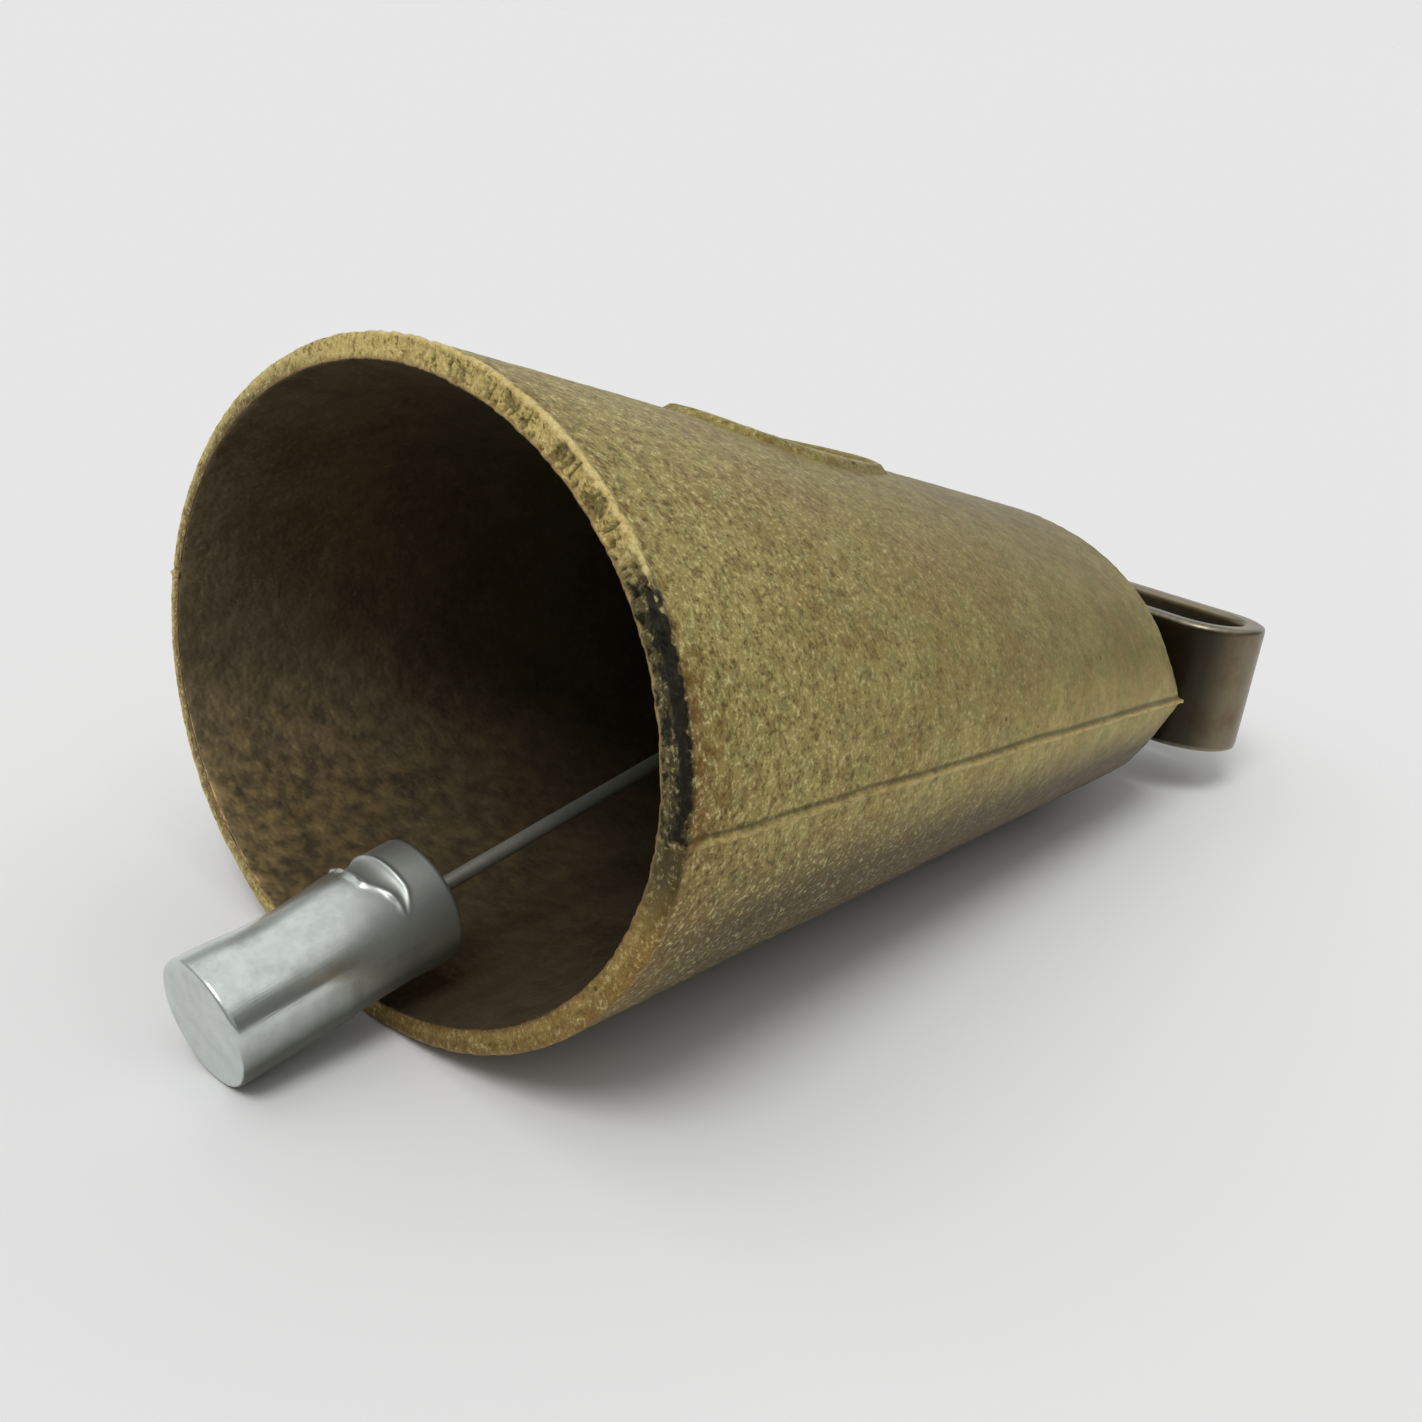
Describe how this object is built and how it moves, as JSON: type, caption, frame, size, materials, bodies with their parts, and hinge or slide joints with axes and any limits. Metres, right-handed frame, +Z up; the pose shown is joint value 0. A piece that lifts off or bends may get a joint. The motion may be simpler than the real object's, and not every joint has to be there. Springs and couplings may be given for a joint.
{
  "type": "sheep bell",
  "caption": "Cast oval animal bell with a riveted strap loop for a collar and a free-swinging clapper with a crimped steel slug.",
  "frame": {"origin": "on the ground under the middle of the whole part, as it lies on the lower broad face of the bell", "axes": "+X from the bell's mouth to its crown and collar loop, +Y along the line from one casting seam to the other, +Z up"},
  "size_m": [0.133, 0.0792, 0.0591],
  "materials": {
    "cast_brass": "sand-cast, aged olive-gold",
    "strap_steel": "dark, weathered, worn at its edges",
    "fixing_steel": "dull grey",
    "wire_steel": "dull galvanised",
    "slug_zinc": "bright zinc-plated, turned"
  },
  "bodies": {
    "bell": {"bell_body": "cast_brass", "strap_loop": "strap_steel", "rivet_washer": "fixing_steel"},
    "hanger": {"hanger_eye": "fixing_steel"},
    "clapper": {"clapper_wire": "wire_steel", "clapper_slug": "slug_zinc"}
  },
  "joints": [
    {"name": "hanger_swivel", "type": "hinge", "parent": "bell", "child": "hanger", "pos_m": [0.04889, 0, 0.01475], "axis": [0.9878, 0, -0.1555], "continuous": true},
    {"name": "clapper_swing", "type": "hinge", "parent": "hanger", "child": "clapper", "pos_m": [0.0156, 0, 0.01999], "axis": [0.027, -0.9848, 0.1715], "range_deg": [-38.2, 0]}
  ]
}
